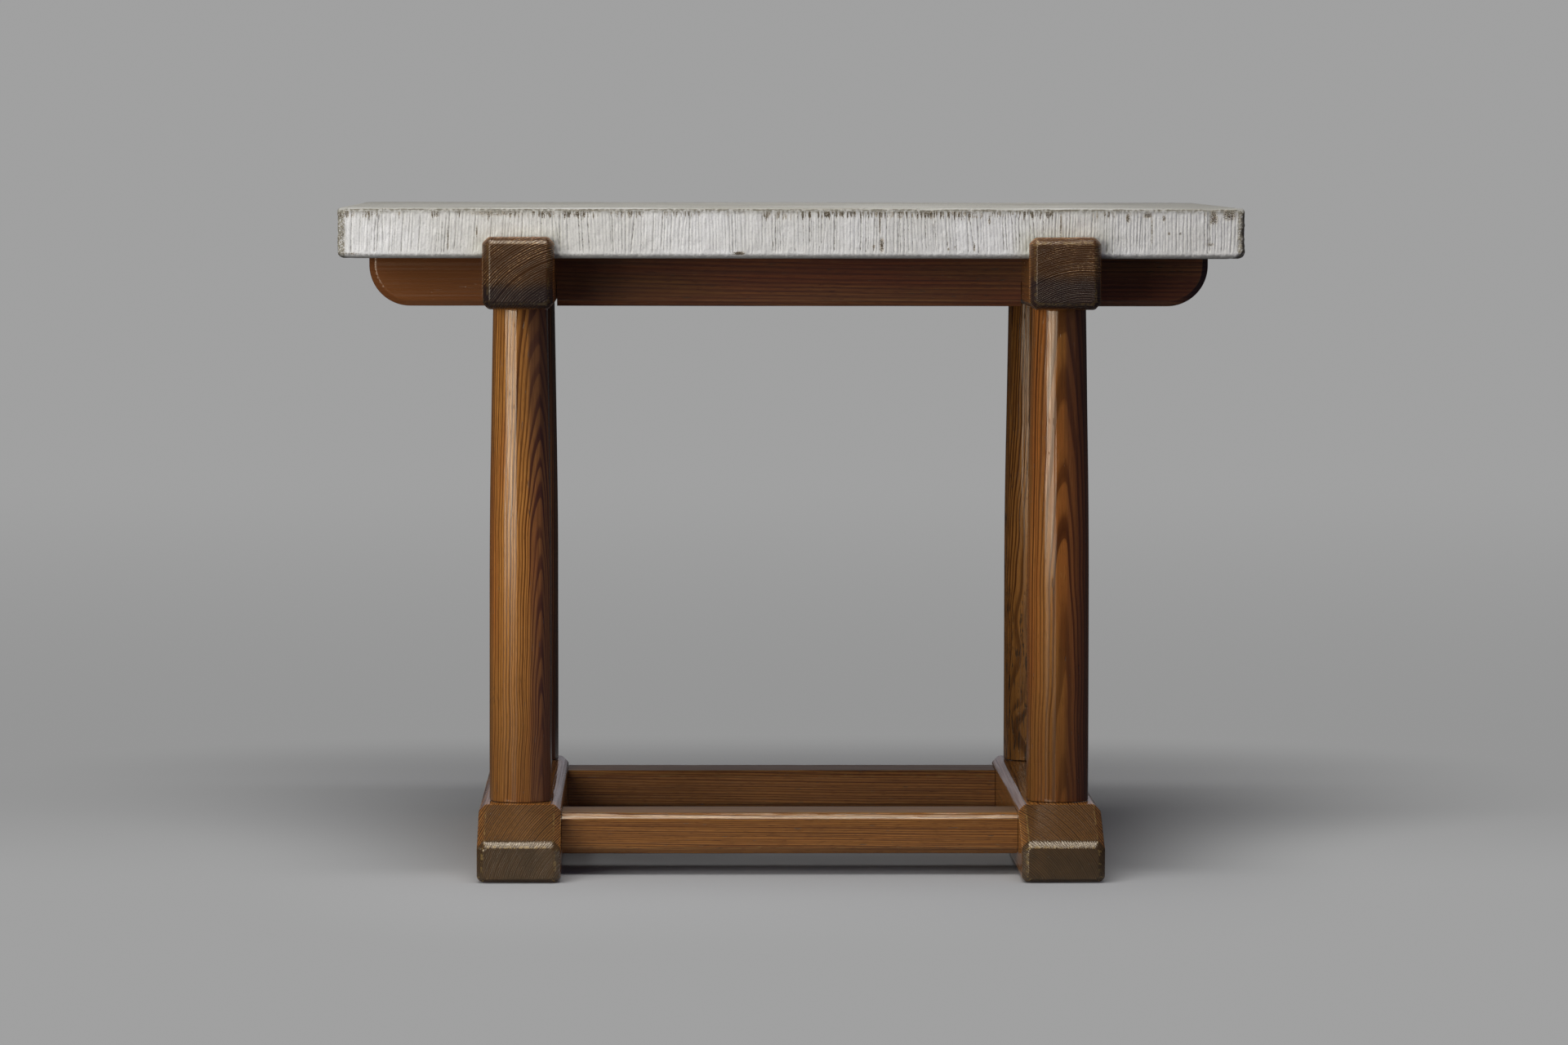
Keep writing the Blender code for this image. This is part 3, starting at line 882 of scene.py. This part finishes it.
def slab_profile(thickness):
    """Insets and heights of the slab's rows of points, from its bottom round the edge to its top."""
    bottom = [(0.024, 0), (0.0095, 0), (0.0062, 0), (0.0036, 0.0005), (0.0018, 0.0015),
              (0.0006, 0.003), (0, 0.0048)]
    edge = [(0, z) for z in spaced(0.0064, thickness - 0.0046, 0.0016)]
    top = [(0, 0.003), (0.0003, 0.0019), (0.001, 0.0009), (0.002, 0.0003), (0.0034, 0),
           (0.008, 0), (0.024, 0)]
    return bottom + edge + [(inset, thickness - drop) for inset, drop in top]


def stain_strength(x, rise):
    """How strongly the stains on the slab's front mark a spot."""
    strongest = 0
    for stain_x, height, wide, tall, strength in STAINS:
        across = (x - stain_x) / wide
        if abs(across) < 2.5:
            up = (rise - height) / tall
            strongest = max(strongest, strength * math.exp(-across * across - up * up * up * up))
    return strongest


def build_slab():
    low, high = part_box("slab")
    half_x, half_y = high[0], high[1]
    thickness = high[2] - low[2]
    path, length = slab_path(half_x, half_y)
    grooves = groove_places(length)
    profile = slab_profile(thickness)
    points, groove, stain, chipped = [], [], [], []
    for inset, rise in profile:
        first = 0
        edge_row = inset < 0.006
        for spot, out, run, flat in path:
            while first < len(grooves) - 1 and grooves[first + 1][0] < run:
                first += 1
            deep, crown = groove_depth(grooves, first, run, rise, thickness)
            to_corner = Vector((half_x - abs(spot.x), half_y - abs(spot.y))).length
            rough = clamped(1 - (to_corner - 0.004) / 0.007)
            deep *= flat * (1 - 0.8 * rough)
            # Unevenness, fine unevenness and chips draw the edge in
            broad = noise_at(spot.x * 90, spot.y * 90, rise * 90)
            fine = noise_at(spot.x * 330, spot.y * 330, rise * 260)
            arris = clamped(1 - (thickness - rise) / 0.006) if inset < 0.004 else 0
            chip = max(0, noise_at(spot.x * 34, spot.y * 34, rise * 60 + 7) - 0.22)
            draw_in = max(0, 0.00045 + 0.0004 * broad + 0.0003 * fine * (1 + 1.5 * rough)
                          + 0.0035 * chip * max(arris, 0.8 * rough))
            if edge_row:
                edge = spot - out * (inset + RIB_DEPTH * deep + CROWN_RISE * crown * flat + draw_in)
            else:
                edge = Vector((spot.x * (1 - inset / half_x), spot.y * (1 - inset / half_y)))
            # The corners are worn down from above and below, in front more than behind
            worn = clamped(1 - to_corner / 0.015) ** 2 * clamped(1 - inset / 0.02)
            worn *= 1 if spot.y < 0 else 0.2
            lift_low, lift_top = (0.0065 if spot.x > 0 else 0.003) * worn, 0.0055 * worn
            z = lift_low + rise * (thickness - lift_low - lift_top) / thickness
            dip = 0.8 * draw_in if edge_row and inset > 0.0004 else 0
            points.append((edge.x, edge.y, low[2] + z + (dip if rise < thickness / 2 else -dip)))
            groove.append(deep)
            chipped.append(max(rough, min(1, 3 * chip * arris)))
            stain.append(stain_strength(spot.x, rise) if spot.y < -half_y + 0.02 else 0)
    count = len(path)
    last = (len(profile) - 1) * count
    faces = []
    for row in range(0, last, count):
        join_rows(faces, row, row + count, count)
    faces.append(tuple(reversed(range(count))))
    faces.append(tuple(range(last, last + count)))
    mesh = mesh_with("slab", points, faces, {"groove": groove, "stain": stain, "chipped": chipped})
    mesh.shade_smooth()
    for cap in (len(faces) - 2, len(faces) - 1):
        mesh.polygons[cap].use_smooth = False
    mesh.materials.append(stone_material(low[2], high[2]))
    slab = add_object("comb_chiselled_slab", mesh)
    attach(slab, "top")
    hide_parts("slab")


def stone_material(bottom, top):
    """Pale stone between two heights, with dirt in its grooves, stains, worn arrises, and painted shade
    on its arrises, right corners and top.
    """
    graph = Graph(bpy.data.materials.new("pale stone"))
    mix, spread, times, total, minus = graph.mix, graph.spread, graph.times, graph.total, graph.minus
    place = graph.coordinate("Object")
    x, y, z = graph.parts(place)
    side, _, up = graph.parts(graph.node("NewGeometry").outputs["Normal"])
    height = minus(top, z)

    def patches(scale, detail=2, roughness=0.6):
        return graph.noise(place, scale, detail, roughness)

    cloud = patches(9, 4)
    grit, blot, pits = patches(520, 3, 0.65), patches(230, 3, 0.65), patches(1100)
    streak, dash = patches((420, 420, 40), 3), patches((500, 500, 230))
    zone, drip = patches((26, 26, 5)), patches((380, 380, 30))
    smear = patches((4.8, 14.4, 1.6), 5, 0.62)
    groove = graph.attribute("groove")
    chipped = times(graph.attribute("chipped"), spread(y, 0, 0.1, 1, 0.2))
    # The grooves show darker broken lines, and hold specks of dirt
    line = times(spread(groove, 0.08, 0.6), spread(dash, 0.36, 0.6, 0.2, 0.7))
    specks = times(spread(groove, 0.12, 0.5), spread(dash, 0.55, 0.62), spread(zone, 0.42, 0.6), 0.85)
    # Rough corners and arrises
    upright = spread(up, 0.15, 0.45, 1, 0)
    spots = times(spread(chipped, 0.1, 0.6), spread(grit, 0.36, 0.54), total(0.3, times(upright, 0.65)))
    dark = times(spread(chipped, 0.25, 0.9), spread(pits, 0.5, 0.6), upright, 0.85)
    # Dirt round the bearers
    near = graph.math("ABSOLUTE", minus(graph.math("ABSOLUTE", x), TRESTLE_SPACING / 2))
    dirt = times(spread(near, 0.035, 0.065, 1, 0), spread(z, bottom + 0.022, bottom + 0.04, 1, 0.35),
                 spread(cloud, 0.3, 0.6, 0.15, 0.45))
    # Brown stains, and dots and drips under the upper arris
    hang = total(height, times(minus(drip, 0.5), -0.03))
    dots = times(spread(height, 0.003, 0.0042), spread(hang, 0.007, 0.011, 1, 0),
                 spread(drip, 0.44, 0.54), spread(zone, 0.44, 0.56), spread(up, 0.2, 0.5, 1, 0))
    stain = graph.math("MAXIMUM", graph.attribute("stain"), dots)
    halo = times(spread(stain, 0.05, 0.6), spread(blot, 0.4, 0.6, 0.1, 0.6))
    broken = times(spread(total(stain, times(minus(pits, 0.5), 4.2)), 0.6, 0.85), spread(stain, 0, 0.55))
    # A dirty band along the upper arris, darkened further as painted shade; painted shade on the arris's
    # rounding where it tilts up, and where the right corners turn away from the light
    band = spread(height, 0.0025, 0.0085, 1, 0)
    rim_shade = times(spread(up, 0.12, 0.35), spread(up, 0.985, 0.9995, 1, 0),
                spread(blot, 0.48, 0.6, 0.92, 0.45))
    shade_on_right = times(spread(side, 0.25, 0.75), spread(chipped, 0.2, 0.8), 0.9)
    # The top is duller, with painted shade towards its ends, and the bottom arris dark
    behind = times(spread(up, 0.02, 0.25), spread(y, 0, 0.1))
    # Painted shade on the top: darker towards its left end and past the right bearer
    shaded = total(spread(x, -0.6, 0.3, 0.4, 0), spread(x, 0.3, 0.42, 0, 0.32))
    worn_top_and_shade = graph.layered(
        graph.ramp(smear, ((0.32, (0.28, 0.265, 0.22)), (0.5, (0.37, 0.36, 0.32)),
                           (0.68, (0.48, 0.47, 0.44)))),
        (spread(grit, 0.5, 0.7, 0, 0.4), (0.22, 0.21, 0.18)),
        (shaded, (0.14, 0.135, 0.115)))
    low = spread(total(minus(z, bottom), times(minus(blot, 0.5), 0.008)), 0.0022, 0.0056, 1, 0)
    graph.set("Base Color", graph.layered(
        mix(spread(cloud, 0.35, 0.65), (0.645, 0.625, 0.57), (0.75, 0.735, 0.7)),
        (spread(streak, 0.4, 0.62, 0, 0.3), (0.42, 0.41, 0.38)),
        # Painted shade: the stone darkens from left of the middle towards the right, as the light falls
        # off
        (spread(x, -0.3, 0.05, 0, 0.14), (0.45, 0.44, 0.4)),
        (spread(grit, 0.5, 0.7, 0, 0.45), (0.36, 0.345, 0.31)),
        (line, (0.31, 0.3, 0.265)),
        (specks, (0.075, 0.062, 0.036)),
        (spots, (0.23, 0.2, 0.135)),
        (dark, (0.06, 0.048, 0.026)),
        (dirt, (0.37, 0.375, 0.25)),
        (halo, (0.32, 0.245, 0.13)),
        (broken, (0.058, 0.037, 0.014)),
        (times(band, spread(blot, 0.38, 0.6, 0.92, 0.35)), (0.15, 0.135, 0.092)),
        (rim_shade, (0.105, 0.092, 0.062)),
        (shade_on_right, (0.085, 0.075, 0.05)),
        (graph.math("MAXIMUM", spread(up, 0.55, 0.95), behind), worn_top_and_shade),
        (times(low, 0.66), (0.19, 0.185, 0.165))))
    shiny = times(spread(graph.noise(place, 160), 0.6, 0.68), graph.math("MAXIMUM", band, chipped))
    graph.set("Roughness", total(0.46, times(grit, 0.2), times(shiny, -0.36)))
    graph.set("Specular IOR Level", 0.4)
    relief = total(times(grit, 0.7), times(streak, 0.4), times(blot, chipped, 1.5))
    graph.set("Normal", graph.bump(relief, 0.0007, 0.8))
    return graph.owner


def growth_rings(graph, u, v, along, seed, rings, arch, streaks):
    """Late wood of the rings round a pith line, a ring's phase, and the arches where there are any."""
    times, total, minus = graph.times, graph.total, graph.minus
    radius = graph.math("SQRT", total(times(u, u), times(v, v)))
    arches = None
    climb = times(along, rings[2])
    if arch:
        turn = math.radians(arch[0])
        aside = total(times(u, math.cos(turn) / ARCH_REACH), times(v, math.sin(turn) / ARCH_REACH))
        sway = graph.noise(graph.joined(seed, times(along, 9), 0), 1, 1)
        aside = total(aside, times(minus(sway, 0.5), 0.7))
        arches = graph.math("EXPONENT", times(graph.math("POWER", graph.math("ABSOLUTE", aside), 2), -1))
        climb = times(minus(arch[1], along), arches, rings[2])
    count = total(times(radius, rings[0]), times(radius, radius, rings[1]), climb,
                  times(minus(streaks(14, 2.6), 0.5), 2), times(minus(streaks(55, 7), 0.5), 0.35))
    uneven = graph.noise(graph.joined(times(count, 0.45), seed, 0), 1, 1)
    count = total(count, times(uneven, 1.4))
    phase, number = graph.math("FRACT", count), graph.math("FLOOR", count)
    chance = graph.node("TexWhiteNoise", None, number, noise_dimensions="1D").outputs["Value"]
    late = graph.ramp(phase, ((0, 0.6), (0.05, 0.03), (0.36, 0), (0.54, 0.22), (0.68, 0.84), (0.86, 1),
                              (1, 0.85)))
    return times(late, total(0.6, times(chance, 0.5))), phase, arches


def end_grain(graph, late, phase, place, broad, grey, upper):
    """Soaked end grain with pale lines; upper, where it is given, parts bronze from dark below, with
    painted glints above.
    """
    mix, spread, times = graph.mix, graph.spread, graph.times
    soaked = mix(spread(broad, 0.38, 0.64), (0.04, 0.021, 0.009), (0.096, 0.047, 0.016))
    edge = graph.math("PINGPONG", graph.minus(phase, 0.16), 0.5)
    lit = times(spread(edge, 0.03, 0.13, 1, 0), spread(graph.noise(place, 46), 0.34, 0.62),
                spread(broad, 0.36, 0.56))
    sawn = graph.layered(soaked, (late, (0.018, 0.009, 0.005)), (times(lit, 0.85), (0.26, 0.125, 0.05)),
                         (grey, (0.077, 0.048, 0.024)))
    if upper:
        # Painted highlights: bright glints on the upper end grain
        glints = times(spread(lit, 0.2, 0.8), upper, spread(graph.noise(place, 420, 1), 0.5, 0.62), 0.85)
        lower = spread(upper, 1, 0, 0, 0.72)
        sawn = graph.layered(sawn, (times(upper, 0.35), (0.14, 0.056, 0.023)),
                             (glints, (0.72, 0.43, 0.19)), (lower, (0.03, 0.02, 0.022)))
    return sawn


def pine_material(name, axis, pith, rings, seed, arch=None, tone=1, red=0.5, contrast=1, slits=0,
                  worn=1, gloss=1, grey=0, painted_haze=0, spark=None, paler=None):
    """Stained and varnished pine as a solid: rings round a pith line that runs along an axis.

    rings gives ring counts per metre from the pith, their growth with distance, and their
    change along the axis. Where arch is given, as a direction and a height, they change only
    round that direction and down from that height, which draws a flat-sawn face's arches.
    spark is the height over which end grain is bronze and carries painted glints, and paler
    gives two places along the axis between which a paler start of the piece ends.
    """
    graph = Graph(bpy.data.materials.new(name))
    mix, spread, times, total = graph.mix, graph.spread, graph.times, graph.total
    place = graph.coordinate("Object")
    parts = graph.parts(place)
    across, over, along = (parts[i] for i in AXES[axis])
    u, v = graph.minus(across, pith[0]), graph.minus(over, pith[1])
    grain_place = graph.joined(total(u, seed), v, along)

    def streaks(across_scale, along_scale, detail=1, roughness=0.5):
        """Noise with one scale across the grain and another along it."""
        return graph.noise(grain_place, (across_scale, across_scale, along_scale), detail, roughness)

    fibre = streaks(1500, 26, 2, 0.6)
    cloud = streaks(30, 3, 3, 0.55)
    broad = streaks(16, 3, 3, 0.6)
    streak = streaks(420, 3.5, 2, 0.6)
    stroke = streaks(1100, 70)
    dent = spread(streaks(420, 60), 0.72, 0.79)
    late, phase, arches = growth_rings(graph, u, v, along, seed, rings, arch, streaks)
    late = times(late, spread(cloud, 0.25, 0.5, 0.8, 1))
    # How squarely the surface cuts the grain
    facings = graph.parts(graph.node("NewGeometry").outputs["Normal"])
    end = spread(graph.math("ABSOLUTE", facings[AXES[axis][2]]), 0.1, 0.52)
    # Early wood, gold to orange, with darker and paler fibres
    early = mix(spread(cloud, 0.75 - 0.5 * red, 1 - 0.5 * red), (0.57, 0.236, 0.052), (0.5, 0.145, 0.031))
    early = mix(spread(streak, 0.44, 0.68, 0, 0.5), early, (0.13, 0.036, 0.01))
    early = mix(spread(fibre, 0.34, 0.7), mix(0.35, early, (0.09, 0.034, 0.01)), early)
    early = graph.layered(early, (spread(stroke, 0.6, 0.72, 0, 0.55), (0.07, 0.026, 0.009)),
                          (spread(stroke, 0.36, 0.26, 0, 0.4), (0.58, 0.3, 0.085)))
    if arches:
        early = mix(times(arches, 0.4), mix(0.2, early, (0.62, 0.27, 0.06)), (0.19, 0.072, 0.016))
        contrast = spread(along, 0.05, 0.4, 0.75 * contrast, contrast)
    long_grain = mix(times(late, contrast), early, (0.066, 0.018, 0.006))
    upper = spread(v, spark - pith[1] - 0.01, spark - pith[1] + 0.012) if spark else None
    sawn = end_grain(graph, late, phase, place, broad, grey, upper)
    # A purple-grey veil mixed into the colour is a painted sheen of hazy light; dents are darker
    layers = [(painted_haze, (0.105, 0.06, 0.078)), (times(dent, 0.7), (0.028, 0.014, 0.008))]
    if slits:
        marks = times(spread(streaks(300, 30, 3, 0.7), 0.56, 0.62),
                      spread(streaks(40, 2), 0.48, 0.6), slits)
        layers.append((marks, (0.018, 0.01, 0.006)))
        dent = graph.math("MAXIMUM", dent, marks)
    # Bare wood along the arrises, and where shoes have rubbed
    wear = graph.attribute("wear")
    bare = times(spread(wear, 0.55, 1), spread(streaks(260, 45, 3, 0.6), 0.46, 0.6), worn, 0.45)
    rubbed = spread(wear, 1.2, 1.8)
    layers += [(bare, (0.38, 0.25, 0.085)), (times(rubbed, 0.3), (0.3, 0.18, 0.06))]
    if paler:
        layers.append((spread(along, *paler, 0.85, 0), (0.36, 0.125, 0.036)))
    if arch:
        # Columns are darker towards the floor, and carry painted shade on their right sides, deepest on
        # the upper right under the bearers
        shade_on_right = times(spread(along, 0.42, 0.6), spread(facings[0], -0.05, 0.45, 0, 0.4))
        layers += [(spread(along, 0.08, 0.36, 0.5, 0), (0.045, 0.023, 0.011)),
                   (spread(facings[0], 0.05, 0.85, 0, 0.5), (0.046, 0.026, 0.04)),
                   (shade_on_right, (0.042, 0.024, 0.026))]
    colour = graph.layered(mix(end, long_grain, sawn), *layers)
    graph.set("Base Color", mix(1, colour, (tone, tone, tone), "MULTIPLY"))
    graph.set("Roughness", total(0.06, times(spread(streak, 0.3, 0.66), 0.16), times(dent, 0.25),
                                 times(rubbed, 0.3)))
    graph.set("Specular IOR Level", 0.56 * gloss)
    graph.set("Specular Tint", (1, 0.86, 0.66, 1))
    relief = times(end, spread(broad, 0.34, 0.56, 0.3, 1.9))
    ridges = times(graph.minus(late, 0.5), total(0.22, relief))
    height = total(ridges, times(fibre, 0.06), times(dent, -1.2), times(streaks(330, 2.5, 2, 0.6), 1.5))
    if arch:
        # Plane strokes run down the columns and break up their highlights
        height = total(height, times(streaks(150, 2.2, 2, 0.6), 3.2))
    graph.set("Normal", graph.bump(height, 0.00022, 0.8))
    return graph.owner


def pine_of(node):
    axis, pith, rings, seed, looks = PINES[node]
    return pine_material("pine " + node.replace("_", " "), axis, pith, rings, seed, **looks)


def column_pine(side, end):
    """Pine whose pith lies behind the column, seen from the direction of its arches."""
    turn, top, rings, seed, looks = COLUMN_PINES[side, end]
    x, y = column_place(side, end)
    angle = math.radians(turn)
    pith = (x - math.sin(angle) * PITH_DISTANCE, y + math.cos(angle) * PITH_DISTANCE)
    name = "pine column %s %s" % (end, side)
    return pine_material(name, "Z", pith, rings, seed, arch=(turn, top), **looks)


def dress(node, material):
    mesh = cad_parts[node].data
    mesh.materials.clear()
    mesh.materials.append(material)


def dress_fixings(side, end):
    """Give the wedges and the peg of one column their pine."""
    x, y = column_place(side, end)
    pine = pine_material("pine wedge %s %s" % (end, side), "Z", (x, y - 0.03), (300, 0, 2), 31 + x,
                         tone=1.1, red=0.4)
    for fixing in ("wedge_top", "wedge_bottom", "peg"):
        dress("%s_%s_%s" % (fixing, end, side), pine)


def make_woodwork():
    for side in SIDES:
        for node, build in (("foot_" + side, build_foot), ("bearer_" + side, build_bearer)):
            finish_piece(build(side), node, pine_of(node))
        for end in ENDS:
            finish_piece(build_column(side, end), "column_%s_%s" % (end, side), column_pine(side, end))
            dress_fixings(side, end)
    for end in ENDS:
        for node, build in (("apron_" + end, build_apron), ("stretcher_" + end, build_stretcher)):
            finish_piece(build(end), node, pine_of(node))


make_camera()
make_stage()
make_world()
make_lights()
make_woodwork()
build_slab()

bpy.context.scene.view_settings.view_transform = "Standard"
